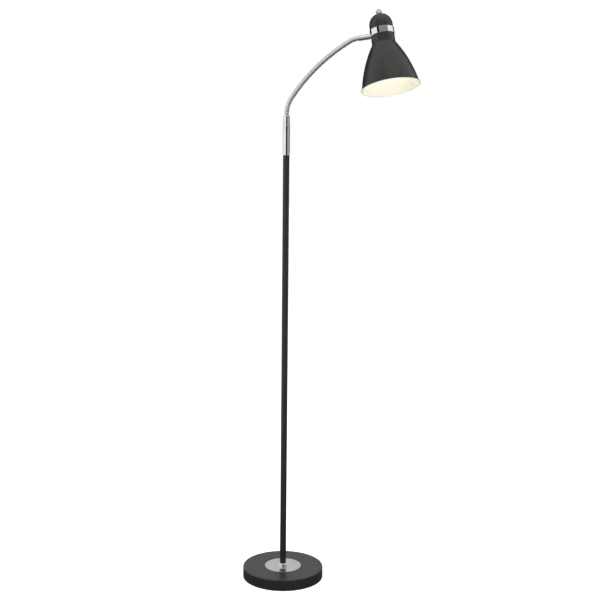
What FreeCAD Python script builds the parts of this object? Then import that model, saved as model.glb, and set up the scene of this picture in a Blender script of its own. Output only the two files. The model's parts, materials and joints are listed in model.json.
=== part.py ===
import FreeCAD, Part
import math
import os
import Sketcher

# Gooseneck reading floor lamp, in millimetres.
# +Z is up, the arm reaches towards +X, and the origin is the middle of the base on the floor.

doc = FreeCAD.newDocument("GooseneckReadingLamp")

# ---------------------------------------------------------------- driving sizes
SIZES = (
    # base
    ("base_diameter", 230.0, "outside of the painted base"),
    ("base_height", 32.0, "floor to the top of the base"),
    ("base_edge_round", 2.5, "round on the top edge of the base"),
    ("base_wall", 1.2, "pressed steel of the base cover"),
    ("base_lift", 1.0, "gap between the cover's rim and the floor"),
    ("pad_margin", 3.0, "from the base's outside in to the foam pad"),
    ("pad_thickness", 3.0, "foam pad under the base"),
    ("weight_clearance", 0.4, "round the cast weight inside the cover"),
    ("recess_diameter", 52.0, "pocket under the weight for nut and washer"),
    ("recess_clearance", 3.5, "under the threaded tube, in the pocket under the weight"),
    ("channel_clearance", 0.5, "round the inlet bush in the lead's channel through the weight"),
    ("disc_diameter", 104.0, "brushed disc on the base"),
    ("disc_thickness", 0.8, "brushed disc on the base"),
    # threaded tubes, nuts and washers
    ("rod_diameter", 10.0, "threaded tube through base, pole and arm"),
    ("rod_bore", 6.5, "lead's way through the threaded tube"),
    ("thread_clearance", 0.1, "radial play of anything screwed or pushed on the threaded tube"),
    ("washer_diameter", 40.0, "washer under the weight"),
    ("washer_thickness", 2.0, "washer under the weight"),
    ("nut_flats", 17.0, "hexagon nut across its flats"),
    ("nut_height", 6.0, "hexagon nut"),
    ("rod_below_nut", 1.5, "threaded tube standing below the base nut"),
    ("rod_in_bush", 20.0, "length of threaded tube in each bush"),
    # lead inlet at the back of the base
    ("inlet_height", 11.0, "middle of the inlet above the floor"),
    ("inlet_diameter", 10.0, "hole in the cover for the inlet bush"),
    ("inlet_bore", 7.0, "hole for the lead in the inlet bush"),
    ("inlet_flange_width", 2.0, "flange of the inlet bush"),
    ("inlet_flange_thickness", 2.0, "flange of the inlet bush"),
    ("inlet_body_length", 7.0, "inlet bush inside the flange"),
    # pole
    ("pole_diameter", 18.0, "outside of both pole tubes"),
    ("pole_wall", 1.2, "wall of both pole tubes"),
    ("seam_height", 700.0, "floor to the joint between the two pole tubes"),
    ("pole_top", 1211.0, "floor to the top of the upper pole tube"),
    ("tube_chamfer", 0.5, "broken edge at the tubes' ends"),
    ("bush_length", 25.0, "threaded bushes pressed into the tubes"),
    ("press_clearance", 0.05, "radial play of a bush in its tube"),
    ("collar_diameter", 26.0, "chrome collar round the pole's foot"),
    ("collar_height", 8.0, "chrome collar round the pole's foot"),
    ("collar_chamfer", 1.5, "broken top edge of the collar"),
    ("collar_clearance", 0.15, "radial play of the pole in the collar"),
    # chrome ferrule on top of the pole
    ("ferrule_diameter", 19.4, "chrome ferrule, below its step"),
    ("ferrule_step", 0.9, "how far the ferrule's top stands in from its side"),
    ("ferrule_wall", 1.0, "chrome ferrule"),
    ("ferrule_length", 107.0, "chrome ferrule"),
    ("ferrule_top_length", 23.0, "narrower top of the ferrule"),
    ("ferrule_chamfer", 1.0, "broken top edge of the ferrule, and slope of its step"),
    ("root_flange_height", 6.0, "guide flange of the root fitting inside the ferrule"),
    # gooseneck
    ("neck_diameter", 13.0, "over the ribs"),
    ("rib_depth", 1.0, "ribs of the gooseneck"),
    ("root_rise", 3.0, "top of the ferrule to the first flexing point"),
    ("link_length", 24.2, "between flexing points, along the curve"),
    ("end_gap", 0.85, "flexing point to the first rib on each side"),
    ("hinge_radius", 3.0, "tongue's round end"),
    ("hinge_width", 6.0, "tongue across its hinge axis"),
    ("hinge_clearance", 0.1, "play of a tongue in its slot"),
    ("root_turn", 33.3, "degrees, bend of the first two links"),
    ("middle_turn", 24.8, "degrees, bend of the nine links after them"),
    ("tip_turn", 23.0, "degrees, bend of the last link"),
    # arm end
    ("arm_diameter", 14.5, "chrome sleeve between gooseneck and head"),
    ("arm_length", 34.0, "last flexing point to the head's band"),
    ("arm_chamfer", 0.9, "edge of the sleeve at the gooseneck"),
    ("arm_rod_in_sleeve", 14.0, "threaded tube inside the sleeve"),
    ("arm_nut_flats", 14.0, "nut inside the head"),
    ("arm_nut_height", 4.0, "nut inside the head"),
    ("saddle_clearance", 0.1, "between the sleeve's end and the band"),
    # head
    ("head_roll", 15.4, "degrees, head turned about the arm"),
    ("rim_diameter", 162.0, "over the rolled rim of the shade"),
    ("rim_height", 2.6, "rolled rim"),
    ("rim_lip", 3.0, "rolled rim outside the bell"),
    ("rim_chamfer", 0.8, "edges of the rolled rim"),
    ("bell_arc_radius", 332.0, "outward curve of the bell"),
    ("bell_height", 121.0, "rim plane to the top of the bell"),
    ("shade_wall", 1.0, "spun steel of shade and cap"),
    ("shoulder_step", 1.1, "bell's top outside the straight neck"),
    ("shoulder_height", 2.5, "bell's top to the straight neck"),
    ("shade_neck_diameter", 64.0, "straight neck under the band"),
    ("shade_neck_length", 34.5, "straight neck, up to the shade's top plate"),
    ("arm_below_top", 10.0, "shade's top plate down to the arm's axis"),
    ("band_below_top", 12.0, "shade's top plate down to the band's lower edge"),
    ("band_height", 17.0, "chrome band"),
    ("band_wall", 0.9, "chrome band"),
    ("band_clearance", 0.1, "radial play of the band on the neck"),
    ("cap_height", 48.9, "cap, were its dome not drilled"),
    ("cap_clearance", 0.3, "radial play of the cap in the band"),
    ("part_gap", 0.1, "between stacked parts of the head"),
    # lampholder
    ("holder_diameter", 40.0, "body of the lampholder, through the top plate"),
    ("holder_clearance", 0.3, "radial play of the lampholder in the top plate"),
    ("holder_reach", 38.0, "lampholder below the shade's top plate"),
    ("holder_shoulder", 45.0, "shoulder that rests on the top plate"),
    ("holder_shoulder_height", 6.0, "shoulder that rests on the top plate"),
    ("holder_neck_diameter", 30.0, "upper part of the lampholder"),
    ("holder_neck_length", 15.9, "upper part of the lampholder"),
    ("holder_cup_diameter", 30.0, "cup for the screw shell"),
    ("holder_cup_depth", 31.0, "cup for the screw shell"),
    ("ring_diameter", 47.0, "ring that holds the shade on the lampholder"),
    ("ring_height", 6.0, "ring that holds the shade on the lampholder"),
    ("shell_clearance", 0.6, "radial play of the brass screw shell in its cup"),
    ("shell_wall", 0.6, "brass screw shell"),
    ("shell_height", 24.0, "brass screw shell"),
    ("contact_diameter", 10.0, "centre contact"),
    ("contact_height", 2.0, "centre contact"),
    # bulb
    ("globe_diameter", 56.0, "opal globe of the bulb"),
    ("globe_height", 44.0, "globe above its housing"),
    ("housing_height", 35.0, "housing between globe and screw cap"),
    ("housing_end_diameter", 30.0, "housing at the screw cap"),
    ("housing_gap", 1.0, "between the housing and the lampholder's mouth"),
    ("bulb_screw_clearance", 0.6, "radial play of the bulb's screw cap in the shell"),
    ("bulb_screw_height", 25.0, "straight part of the bulb's screw cap"),
    ("bulb_tip_diameter", 9.0, "bulb's centre contact"),
    # rotary switch
    ("switch_diameter", 24.0, "switch under the cap"),
    ("switch_height", 14.0, "switch under the cap"),
    ("switch_bush_above_nut", 1.8, "end of the switch's bush above the round nut"),
    ("shaft_diameter", 6.0, "shaft of the switch"),
    ("shaft_clearance", 0.05, "radial play of the shaft in its bush"),
    ("switch_nut_diameter", 14.5, "round nut on the cap"),
    ("switch_nut_height", 1.6, "round nut on the cap"),
    ("knob_clearance", 0.8, "from the knob to the nut and bush under it"),
    ("knob_hollow_play", 1.1, "round the bush in the knob's hollow"),
    ("knob_skirt", 0.8, "wall of the knob round its hollow"),
    ("knob_diameter", 17.0, "knob at its widest"),
    ("knob_grip_height", 5.5, "foot of the knob to its widest edge"),
    ("knob_shoulder_diameter", 8.5, "knob under its nib"),
    ("knob_shoulder_height", 9.5, "foot of the knob to the nib"),
    ("knob_nib_diameter", 3.2, "nib on the knob"),
    ("knob_height", 12.5, "foot of the knob to the end of the nib"),
    # modelling
    ("overshoot", 1.0, "how far a cut runs past the wall it goes through"),
)
LINK_COUNT = 12
ROOT_LINKS = 2  # sharply bent links at the root
TIP_LINKS = 1  # sharply bent links at the tip
RIBS_PER_LINK = 4
SWAY_JOINTS = (2, 5, 8, 11)  # flexing points, counted from the root, that move sideways
LEAST_CUT = 1.0  # cubic millimetres, less than any real hole takes away

sheet = doc.addObject("Spreadsheet::Sheet", "dims")
for row, (alias, amount, note) in enumerate(SIZES, 1):
    sheet.set("A%d" % row, alias)
    sheet.set("B%d" % row, str(amount))
    sheet.set("C%d" % row, note)
    sheet.setAlias("B%d" % row, alias)
doc.recompute()

nodes = []


# ---------------------------------------------------------------- small helpers
def number(text):
    """The value of an expression on the sheet."""
    return float(sheet.evalExpression(text))


def half(text):
    return "((%s) / 2)" % text


def keep(piece, label):
    piece.Label = label
    nodes.append(piece)
    return piece


def plane_of(body, role):
    return [item for item in body.Origin.OriginFeatures if item.Role == role][0]


def add_sketch(body, name, role):
    sketch = body.newObject("Sketcher::SketchObject", name)
    sketch.AttachmentSupport = (plane_of(body, role), [""])
    sketch.MapMode = "FlatFace"
    return sketch


def bind(sketch, kind, first, expression):
    """Adds a size or place to a sketch and ties it to the sheet."""
    index = sketch.addConstraint(Sketcher.Constraint(kind, *first, number(expression)))
    sketch.setExpression("Constraints[%d]" % index, expression)


def place_point(sketch, geometry, position, x, y):
    if abs(number(x)) < 1e-9:
        sketch.addConstraint(Sketcher.Constraint("PointOnObject", geometry, position, -2))
    else:
        bind(sketch, "DistanceX", (-1, 1, geometry, position), x)
    if abs(number(y)) < 1e-9:
        sketch.addConstraint(Sketcher.Constraint("PointOnObject", geometry, position, -1))
    else:
        bind(sketch, "DistanceY", (-1, 1, geometry, position), y)


def arc_between(start, end, radius, side):
    """Short arc from start to end, and whether it runs from start to end anticlockwise."""
    chord = end - start
    middle = (start + end) * 0.5
    offset = math.sqrt(max(radius**2 - (chord.Length / 2) ** 2, 0.0))
    normal = FreeCAD.Vector(-chord.y, chord.x, 0).normalize()
    centre = middle + normal * (offset * side)
    circle = Part.Circle(centre, FreeCAD.Vector(0, 0, 1), radius)
    angles = [math.atan2(point.y - centre.y, point.x - centre.x) for point in (start, end)]
    forward = side > 0
    low, high = angles if forward else angles[::-1]
    if high < low:
        high += 2 * math.pi
    return Part.ArcOfCircle(circle, low, high), forward


def add_outline(sketch, points, arcs):
    """Closed outline through the points; arcs maps a side's number to its radius and side of centre."""
    corners = [FreeCAD.Vector(number(x), number(y), 0) for x, y in points]
    starts, ends = [], []
    for side, start in enumerate(corners):
        end = corners[(side + 1) % len(corners)]
        if side in arcs:
            radius, centre_side = arcs[side]
            shape, forward = arc_between(start, end, number(radius), centre_side)
        else:
            shape, forward = Part.LineSegment(start, end), True
        index = sketch.addGeometry(shape, False)
        starts.append((index, 1 if forward else 2))
        ends.append((index, 2 if forward else 1))
    for side in range(len(corners)):
        following = starts[(side + 1) % len(corners)]
        sketch.addConstraint(Sketcher.Constraint("Coincident", *ends[side], *following))
    for (index, position), (x, y) in zip(starts, points):
        place_point(sketch, index, position, x, y)
    for side, (radius, centre_side) in arcs.items():
        bind(sketch, "Radius", (starts[side][0],), radius)


def turned(label, points, arcs=None, placement=None):
    """A piece turned about its own Z axis from a closed outline of radius and height."""
    body = doc.addObject("PartDesign::Body", label)
    sketch = add_sketch(body, label + "_outline", "XZ_Plane")
    add_outline(sketch, points, arcs or {})
    turn = body.newObject("PartDesign::Revolution", label + "_turned")
    turn.Profile = sketch
    turn.ReferenceAxis = (sketch, ["V_Axis"])
    turn.Angle = 360
    if placement:
        body.Placement = placement
    return keep(body, label)


def ring(label, outer, inner, bottom, top, placement=None):
    """A plain tube, washer or sleeve."""
    if inner == "0":
        points = [("0", bottom), (half(outer), bottom), (half(outer), top), ("0", top)]
    else:
        points = [(half(inner), bottom), (half(outer), bottom), (half(outer), top), (half(inner), top)]
    return turned(label, points, placement=placement)


def bore(body, name, role, x, y, diameter, depth, reverse=False, both_ways=False):
    """A round hole from one of the body's own planes, cutting one way or to both sides."""
    before = body.Shape.Volume
    sketch = add_sketch(body, name + "_circle", role)
    index = sketch.addGeometry(Part.Circle(FreeCAD.Vector(number(x), number(y), 0),
                                           FreeCAD.Vector(0, 0, 1), number(half(diameter))), False)
    place_point(sketch, index, 3, x, y)
    bind(sketch, "Radius", (index,), half(diameter))
    hole = body.newObject("PartDesign::Pocket", name)
    hole.Profile = sketch
    hole.Midplane = both_ways
    hole.Reversed = reverse
    hole.setExpression("Length", depth)
    doc.recompute()
    if body.Shape.Volume > before - LEAST_CUT:
        raise RuntimeError(name + " cuts nothing")


def hexagon_nut(label, flats, height, bottom, placement=None):
    """A hexagon nut with its lower face at the given height."""
    prism = doc.addObject("Part::Prism", label + "_hexagon")
    prism.Polygon = 6
    prism.setExpression("Circumradius", "%s / sqrt(3)" % flats)
    prism.setExpression("Height", height)
    prism.setExpression("Placement.Base.z", bottom)
    hole = doc.addObject("Part::Cylinder", label + "_hole")
    hole.setExpression("Radius", "dims.rod_diameter / 2 + dims.thread_clearance")
    hole.setExpression("Height", height)
    hole.setExpression("Placement.Base.z", bottom)
    nut = doc.addObject("Part::Cut", label)
    nut.Base = prism
    nut.Tool = hole
    if placement:
        nut.Placement = placement
    return keep(nut, label)


# ---------------------------------------------------------------- base
ROD_HOLE = "(dims.rod_diameter + 2 * dims.thread_clearance)"
COVER_INSIDE = "(dims.base_diameter - 2 * dims.base_wall)"
COVER_CEILING = "(dims.base_height - dims.base_wall)"
WEIGHT_BOTTOM = "dims.pad_thickness"
RECESS_TOP = ("(dims.pad_thickness + dims.recess_clearance + dims.rod_below_nut"
              " + dims.nut_height + dims.washer_thickness)")
DISC_TOP = "(dims.base_height + dims.disc_thickness)"


def make_base():
    ring("base_pad", "(dims.base_diameter - 2 * dims.pad_margin)", "0", "0", "dims.pad_thickness")

    cover = turned("base_cover", [
        (half(ROD_HOLE), COVER_CEILING),
        (half(COVER_INSIDE), COVER_CEILING),
        (half(COVER_INSIDE), "dims.base_lift"),
        (half("dims.base_diameter"), "dims.base_lift"),
        (half("dims.base_diameter"), "(dims.base_height - dims.base_edge_round)"),
        ("(dims.base_diameter / 2 - dims.base_edge_round)", "dims.base_height"),
        (half(ROD_HOLE), "dims.base_height"),
    ], {4: ("dims.base_edge_round", 1)})
    doc.recompute()
    bore(cover, "inlet_hole", "XZ_Plane", "0", "dims.inlet_height", "dims.inlet_diameter",
         "(dims.base_diameter / 2 + dims.overshoot)", reverse=INTO_BACK)

    weight = turned("base_weight", [
        (half(ROD_HOLE), RECESS_TOP),
        (half("dims.recess_diameter"), RECESS_TOP),
        (half("dims.recess_diameter"), WEIGHT_BOTTOM),
        ("(%s / 2 - dims.weight_clearance)" % COVER_INSIDE, WEIGHT_BOTTOM),
        ("(%s / 2 - dims.weight_clearance)" % COVER_INSIDE, COVER_CEILING),
        (half(ROD_HOLE), COVER_CEILING),
    ])
    doc.recompute()
    before = weight.Shape.Volume
    channel = add_sketch(weight, "lead_channel_outline", "XZ_Plane")
    channel_side = "(dims.inlet_diameter / 2 + dims.channel_clearance)"
    channel_top = "(dims.inlet_height + %s)" % channel_side
    add_outline(channel, [
        ("(-%s)" % channel_side, WEIGHT_BOTTOM),
        (channel_side, WEIGHT_BOTTOM),
        (channel_side, channel_top),
        ("(-%s)" % channel_side, channel_top),
    ], {})
    cut = weight.newObject("PartDesign::Pocket", "lead_channel")
    cut.Profile = channel
    cut.Reversed = INTO_BACK
    cut.setExpression("Length", "dims.base_diameter / 2")
    doc.recompute()
    if weight.Shape.Volume > before - LEAST_CUT:
        raise RuntimeError("the lead's channel cuts nothing")

    ring("base_disc", "dims.disc_diameter", ROD_HOLE, "dims.base_height", DISC_TOP)

    washer_bottom = "(%s - dims.washer_thickness)" % RECESS_TOP
    nut_bottom = "(%s - dims.nut_height)" % washer_bottom
    ring("base_washer", "dims.washer_diameter", ROD_HOLE, washer_bottom, RECESS_TOP)
    hexagon_nut("base_nut", "dims.nut_flats", "dims.nut_height", nut_bottom)
    ring("foot_rod", "dims.rod_diameter", "dims.rod_bore", "(%s - dims.rod_below_nut)" % nut_bottom,
         "(%s + dims.rod_in_bush)" % DISC_TOP)

    # the bush lies along +Y, so it is turned about Z and then laid back
    bush_start = "(dims.base_diameter / 2 - dims.inlet_body_length)"
    bush_body = "(dims.inlet_diameter - 2 * dims.thread_clearance)"
    bush_flange = "(dims.inlet_diameter + 2 * dims.inlet_flange_width)"
    bush = turned("inlet_bush", [
        (half("dims.inlet_bore"), bush_start),
        (half(bush_body), bush_start),
        (half(bush_body), half("dims.base_diameter")),
        (half(bush_flange), half("dims.base_diameter")),
        (half(bush_flange), "(dims.base_diameter / 2 + dims.inlet_flange_thickness)"),
        (half("dims.inlet_bore"), "(dims.base_diameter / 2 + dims.inlet_flange_thickness)"),
    ])
    bush.Placement = FreeCAD.Placement(FreeCAD.Vector(0, 0, number("dims.inlet_height")),
                                       FreeCAD.Rotation(FreeCAD.Vector(1, 0, 0), -90))


# ---------------------------------------------------------------- pole
POLE_INSIDE = "(dims.pole_diameter - 2 * dims.pole_wall)"
BUSH_OUTSIDE = "(%s - 2 * dims.press_clearance)" % POLE_INSIDE
FERRULE_TOP = "(dims.pole_top + dims.ferrule_length)"
FERRULE_INSIDE = "(dims.ferrule_diameter / 2 - dims.ferrule_step - dims.ferrule_wall)"


def pole_tube(label, bottom, top):
    """A tube with a broken outer edge at each end."""
    outside = half("dims.pole_diameter")
    turned(label, [
        (half(POLE_INSIDE), bottom),
        ("(%s - dims.tube_chamfer)" % outside, bottom),
        (outside, "(%s + dims.tube_chamfer)" % bottom),
        (outside, "(%s - dims.tube_chamfer)" % top),
        ("(%s - dims.tube_chamfer)" % outside, top),
        (half(POLE_INSIDE), top),
    ])


def make_pole():
    collar_top = "(%s + dims.collar_height)" % DISC_TOP
    collar_hole = "(dims.pole_diameter / 2 + dims.collar_clearance)"
    turned("foot_collar", [
        (collar_hole, DISC_TOP),
        (half("dims.collar_diameter"), DISC_TOP),
        (half("dims.collar_diameter"), "(%s - dims.collar_chamfer)" % collar_top),
        ("(dims.collar_diameter / 2 - dims.collar_chamfer)", collar_top),
        (collar_hole, collar_top),
    ])

    pole_tube("pole_lower_tube", DISC_TOP, "dims.seam_height")
    pole_tube("pole_upper_tube", "dims.seam_height", "dims.pole_top")
    ring("foot_bush", BUSH_OUTSIDE, ROD_HOLE, DISC_TOP, "(%s + dims.bush_length)" % DISC_TOP)
    ring("seam_lower_bush", BUSH_OUTSIDE, ROD_HOLE, "(dims.seam_height - dims.bush_length)", "dims.seam_height")
    ring("seam_upper_bush", BUSH_OUTSIDE, ROD_HOLE, "dims.seam_height", "(dims.seam_height + dims.bush_length)")
    ring("seam_rod", "dims.rod_diameter", "dims.rod_bore", "(dims.seam_height - dims.rod_in_bush)",
         "(dims.seam_height + dims.rod_in_bush)")
    ring("pole_top_bush", BUSH_OUTSIDE, ROD_HOLE, "(dims.pole_top - dims.bush_length)", "dims.pole_top")

    ferrule_top_radius = "(dims.ferrule_diameter / 2 - dims.ferrule_step)"
    step_height = "(%s - dims.ferrule_top_length)" % FERRULE_TOP
    neck_hole = "(dims.neck_diameter / 2 + dims.collar_clearance)"
    turned("pole_ferrule", [
        (FERRULE_INSIDE, "dims.pole_top"),
        (half("dims.ferrule_diameter"), "dims.pole_top"),
        (half("dims.ferrule_diameter"), "(%s - dims.ferrule_chamfer)" % step_height),
        (ferrule_top_radius, step_height),
        (ferrule_top_radius, "(%s - dims.ferrule_chamfer)" % FERRULE_TOP),
        ("(%s - dims.ferrule_chamfer)" % ferrule_top_radius, FERRULE_TOP),
        (neck_hole, FERRULE_TOP),
        (neck_hole, "(%s - dims.ferrule_wall)" % FERRULE_TOP),
        (FERRULE_INSIDE, "(%s - dims.ferrule_wall)" % FERRULE_TOP),
    ])


# ---------------------------------------------------------------- gooseneck
NECK_ROOT = "(%s + dims.root_rise)" % FERRULE_TOP


def link_turn(link):
    """Degrees that a link bends, counted from the root."""
    if link < ROOT_LINKS:
        return number("dims.root_turn") / ROOT_LINKS
    if link >= LINK_COUNT - TIP_LINKS:
        return number("dims.tip_turn") / TIP_LINKS
    return number("dims.middle_turn") / (LINK_COUNT - ROOT_LINKS - TIP_LINKS)


def along_arc(turn, length, travelled):
    """Placement on an arc that starts at the origin along +Z and bends towards +X."""
    radius = length / math.radians(turn)
    angle = turn * travelled / length
    place = FreeCAD.Vector(radius * (1 - math.cos(math.radians(angle))), 0,
                           radius * math.sin(math.radians(angle)))
    return FreeCAD.Placement(place, FreeCAD.Rotation(FreeCAD.Vector(0, 1, 0), angle))


def flexing_places():
    """Placement of every flexing point: its Z runs along the neck, its Y across the bend."""
    places = [FreeCAD.Placement(FreeCAD.Vector(0, 0, number(NECK_ROOT)), FreeCAD.Rotation())]
    length = number("dims.link_length")
    for link in range(LINK_COUNT):
        places.append(places[-1] * along_arc(link_turn(link), length, length))
    return places


def hinge_axis(joint):
    """A sideways flexing point hinges about its X, the others about their Y."""
    return FreeCAD.Vector(1, 0, 0) if joint in SWAY_JOINTS else FreeCAD.Vector(0, 1, 0)


def hinge_barrel(joint, radius, width):
    """Cylinder on a flexing point's hinge axis, centred on the origin."""
    axis = hinge_axis(joint)
    return Part.makeCylinder(radius, width, axis * (-width / 2), axis)


def tongue(joint):
    """Round-ended tongue that reaches from the first rib back past the flexing point."""
    radius, width = number("dims.hinge_radius"), number("dims.hinge_width")
    height = number("dims.end_gap") + number("dims.rib_depth")
    across = FreeCAD.Vector(2 * radius, width, height)
    if joint in SWAY_JOINTS:
        across = FreeCAD.Vector(width, 2 * radius, height)
    stem = Part.makeBox(across.x, across.y, across.z, FreeCAD.Vector(-across.x / 2, -across.y / 2, 0))
    return stem.fuse(hinge_barrel(joint, radius, width))


def slot(joint):
    """Room for the next piece's tongue."""
    play = number("dims.hinge_clearance")
    return hinge_barrel(joint, number("dims.hinge_radius") + play, number("dims.hinge_width") + 2 * play)


def neck_link(link):
    """Ribs along a short arc, a tongue at the lower end and a slot at the upper end."""
    turn, length = link_turn(link), number("dims.link_length")
    gap = number("dims.end_gap")
    crest = number("dims.neck_diameter") / 2
    valley = crest - number("dims.rib_depth")
    step = (length - 2 * gap) / (2 * RIBS_PER_LINK)
    circles = []
    for index in range(2 * RIBS_PER_LINK + 1):
        circle = Part.makeCircle(crest if index % 2 else valley)
        circle.Placement = along_arc(turn, length, gap + index * step)
        circles.append(Part.Wire([circle]))
    ribs = Part.makeLoft(circles, True, True)
    upper_end = along_arc(turn, length, length)
    room = slot(link + 1)
    room.Placement = upper_end
    return ribs.fuse(tongue(link)).cut(room)


def make_neck():
    places = flexing_places()
    for link in range(LINK_COUNT):
        piece = doc.addObject("Part::Feature", "neck_link_%02d" % (link + 1))
        piece.Shape = neck_link(link)
        piece.Placement = places[link]
        keep(piece, piece.Name)
    return places[-1]


def make_root_fitting():
    """Turned fitting that screws into the pole and carries the first link above the ferrule."""
    play = "(%s - dims.collar_clearance)" % FERRULE_INSIDE
    flange_top = "(dims.pole_top + dims.root_flange_height)"
    rib_start = "(%s - dims.end_gap - dims.rib_depth)" % NECK_ROOT
    fitting_top = "(%s - dims.end_gap)" % NECK_ROOT
    bore_top = "(%s - dims.bush_length)" % NECK_ROOT
    fitting = turned("neck_root_fitting", [
        (half("dims.rod_bore"), "(dims.pole_top - dims.rod_in_bush)"),
        (half("dims.rod_diameter"), "(dims.pole_top - dims.rod_in_bush)"),
        (half("dims.rod_diameter"), "dims.pole_top"),
        (play, "dims.pole_top"),
        (play, flange_top),
        (half("dims.neck_diameter"), flange_top),
        (half("dims.neck_diameter"), rib_start),
        ("(dims.neck_diameter / 2 - dims.rib_depth)", fitting_top),
        ("0", fitting_top),
        ("0", bore_top),
        (half("dims.rod_bore"), bore_top),
    ])
    doc.recompute()
    bore(fitting, "root_slot", "XZ_Plane", "0", NECK_ROOT,
         "(2 * (dims.hinge_radius + dims.hinge_clearance))",
         "(dims.hinge_width + 2 * dims.hinge_clearance)", both_ways=True)


# ---------------------------------------------------------------- arm end
BAND_INSIDE = "(dims.shade_neck_diameter / 2 + dims.band_clearance)"
BAND_RADIUS = "(%s + dims.band_wall)" % BAND_INSIDE


def head_up():
    """Direction of the head's axis in the last flexing point's own frame."""
    roll = math.radians(number("dims.head_roll"))
    return FreeCAD.Vector(-math.cos(roll), math.sin(roll), 0)


def make_arm_end(arm):
    sleeve = doc.addObject("PartDesign::Body", "arm_sleeve_blank")
    sketch = add_sketch(sleeve, "arm_sleeve_outline", "XZ_Plane")
    rod_start = "(dims.arm_length - dims.arm_rod_in_sleeve)"
    add_outline(sketch, [
        ("0", "dims.end_gap"),
        ("(dims.arm_diameter / 2 - dims.arm_chamfer)", "dims.end_gap"),
        (half("dims.arm_diameter"), "(dims.end_gap + dims.arm_chamfer)"),
        (half("dims.arm_diameter"), "(dims.arm_length + dims.arm_chamfer)"),
        (half(ROD_HOLE), "(dims.arm_length + dims.arm_chamfer)"),
        (half(ROD_HOLE), rod_start),
        ("0", rod_start),
    ], {})
    turn = sleeve.newObject("PartDesign::Revolution", "arm_sleeve_turned")
    turn.Profile = sketch
    turn.ReferenceAxis = (sketch, ["V_Axis"])
    turn.Angle = 360
    end = add_sketch(sleeve, "arm_tongue_circle", "XZ_Plane")
    index = end.addGeometry(Part.Circle(FreeCAD.Vector(), FreeCAD.Vector(0, 0, 1),
                                        number("dims.hinge_radius")), False)
    place_point(end, index, 3, "0", "0")
    bind(end, "Radius", (index,), "dims.hinge_radius")
    stem = add_sketch(sleeve, "arm_tongue_stem", "XZ_Plane")
    add_outline(stem, [
        ("(-dims.hinge_radius)", "0"),
        ("dims.hinge_radius", "0"),
        ("dims.hinge_radius", "(dims.end_gap + dims.rib_depth)"),
        ("(-dims.hinge_radius)", "(dims.end_gap + dims.rib_depth)"),
    ], {})
    for name, outline in (("arm_tongue_end", end), ("arm_tongue_root", stem)):
        pad = sleeve.newObject("PartDesign::Pad", name)
        pad.Profile = outline
        pad.Midplane = True
        pad.setExpression("Length", "dims.hinge_width")

    up = head_up()
    radius = number(BAND_RADIUS) + number("dims.saddle_clearance")
    reach = number("dims.arm_diameter")
    saddle = doc.addObject("Part::Cylinder", "arm_sleeve_saddle")
    saddle.setExpression("Radius", "%s + dims.saddle_clearance" % BAND_RADIUS)
    saddle.setExpression("Height", "2 * dims.arm_diameter")
    centre = FreeCAD.Vector(0, 0, number("dims.arm_length") + radius)
    saddle.Placement = FreeCAD.Placement(centre - up * reach,
                                         FreeCAD.Rotation(FreeCAD.Vector(0, 0, 1), up))
    cut = doc.addObject("Part::Cut", "arm_sleeve")
    cut.Base = sleeve
    cut.Tool = saddle
    cut.Placement = arm
    keep(cut, "arm_sleeve")

    inner_wall = "(dims.shade_neck_diameter / 2 - dims.shade_wall)"
    centre_line = "(dims.arm_length + %s + dims.saddle_clearance)" % BAND_RADIUS
    nut_corner = "(dims.arm_nut_flats / sqrt(3))"
    nut_start = "(%s - sqrt(%s ^ 2 - %s ^ 2))" % (centre_line, inner_wall, nut_corner)
    ring("arm_rod", "dims.rod_diameter", "dims.rod_bore", rod_start,
         "(%s + dims.arm_nut_height + dims.rod_below_nut)" % nut_start, placement=arm)
    hexagon_nut("arm_nut", "dims.arm_nut_flats", "dims.arm_nut_height", nut_start, placement=arm)
    return arm.multVec(centre), arm.Rotation.multVec(up), arm.Rotation.multVec(FreeCAD.Vector(0, 0, 1))


# ---------------------------------------------------------------- head
# heights in the head are counted along its axis from the rim's plane
NECK_START = "(dims.bell_height + dims.shoulder_height)"
SHADE_TOP = "(%s + dims.shade_neck_length)" % NECK_START
ARM_HEIGHT = "(%s - dims.arm_below_top)" % SHADE_TOP
PLATE_SEAT = "(%s + dims.part_gap)" % SHADE_TOP
CAP_RADIUS = "(%s - dims.cap_clearance)" % BAND_INSIDE
CAP_INSIDE = "(%s - dims.shade_wall)" % CAP_RADIUS
DOME_CENTRE = "(%s + dims.cap_height - %s)" % (PLATE_SEAT, CAP_RADIUS)
HOLDER_MOUTH = "(%s - dims.holder_reach)" % SHADE_TOP
CUP_TOP = "(%s + dims.holder_cup_depth)" % HOLDER_MOUTH
CONTACT_BOTTOM = "(%s - dims.contact_height)" % CUP_TOP
SHELL_RADIUS = "(dims.holder_cup_diameter / 2 - dims.shell_clearance)"
SHELL_INSIDE = "(%s - dims.shell_wall)" % SHELL_RADIUS


def head_placement(centre, up, inward):
    """The head's own Z is its axis, from the rim plane up, and its X runs on from the arm."""
    turn = FreeCAD.Rotation(inward, up.cross(inward), up, "ZXY")
    return FreeCAD.Placement(centre - up * number(ARM_HEIGHT), turn)


def on_dome(ball, radius):
    """Height of the cap's dome, or of its inside, at a distance from the axis."""
    return "(%s + sqrt(%s ^ 2 - %s ^ 2))" % (DOME_CENTRE, ball, radius)


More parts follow.
